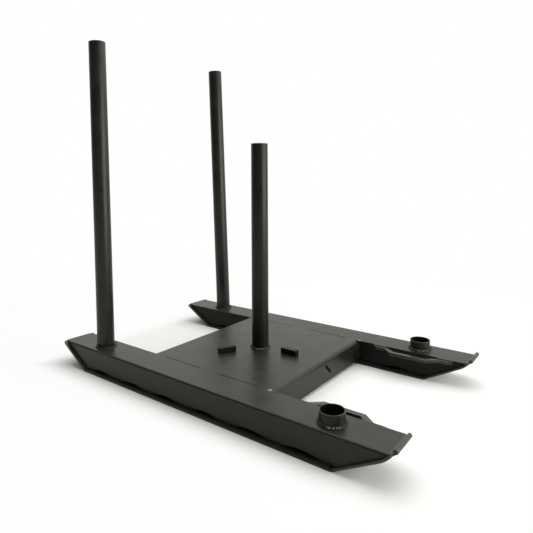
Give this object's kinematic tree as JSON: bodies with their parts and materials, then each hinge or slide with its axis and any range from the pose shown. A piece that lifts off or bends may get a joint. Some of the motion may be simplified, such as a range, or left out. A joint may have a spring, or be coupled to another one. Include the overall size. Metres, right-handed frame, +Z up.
{
  "type": "drag sled",
  "caption": "Low steel drag sled with a folded deck on two box runners, upturned skids, lift-out push poles, front pole sockets, strap bows and a central post for weight plates.",
  "frame": {"origin": "centre of the bounding box, on the ground", "axes": "+X to the front, the end with the open sockets; +Y to the sled's left; +Z up"},
  "size_m": [1.0406, 0.613, 0.9595],
  "materials": {
    "deck": "matt black powder coat, fine texture",
    "side_plate": "matt black powder coat",
    "floor": "matt black powder coat",
    "skid": "matt black powder coat, worn smooth underneath",
    "bow": "matt black powder coat",
    "socket": "satin black powder coat",
    "weld": "painted weld bead",
    "post": "satin black powder coat",
    "pole": "satin black powder coat",
    "lug": "matt black powder coat",
    "cap": "black moulded plastic"
  },
  "bodies": {
    "sled": {"deck_sheet": "deck", "inner_plate_left": "side_plate", "runner_floor_left": "floor", "skid_left": "skid", "strap_bow_left": "bow", "front_socket_left": "socket", "socket_weld_left": "weld", "pole_sleeve_left": "socket", "inner_plate_right": "side_plate", "runner_floor_right": "floor", "skid_right": "skid", "strap_bow_right": "bow", "front_socket_right": "socket", "socket_weld_right": "weld", "pole_sleeve_right": "socket", "plate_post": "post", "post_cap": "cap", "post_weld": "weld", "deck_lug_1": "lug", "deck_lug_2": "lug", "deck_lug_3": "lug"},
    "pole_left": {"push_pole_left": "pole", "pole_cap_left": "cap"},
    "pole_right": {"push_pole_right": "pole", "pole_cap_right": "cap"}
  },
  "joints": [
    {"name": "pole_left_lift", "type": "slide", "parent": "sled", "child": "pole_left", "axis": [-0.0424, 0, 0.9991], "range_m": [0, 0.1]},
    {"name": "pole_right_lift", "type": "slide", "parent": "sled", "child": "pole_right", "axis": [-0.0424, 0, 0.9991], "range_m": [0, 0.1]}
  ]
}
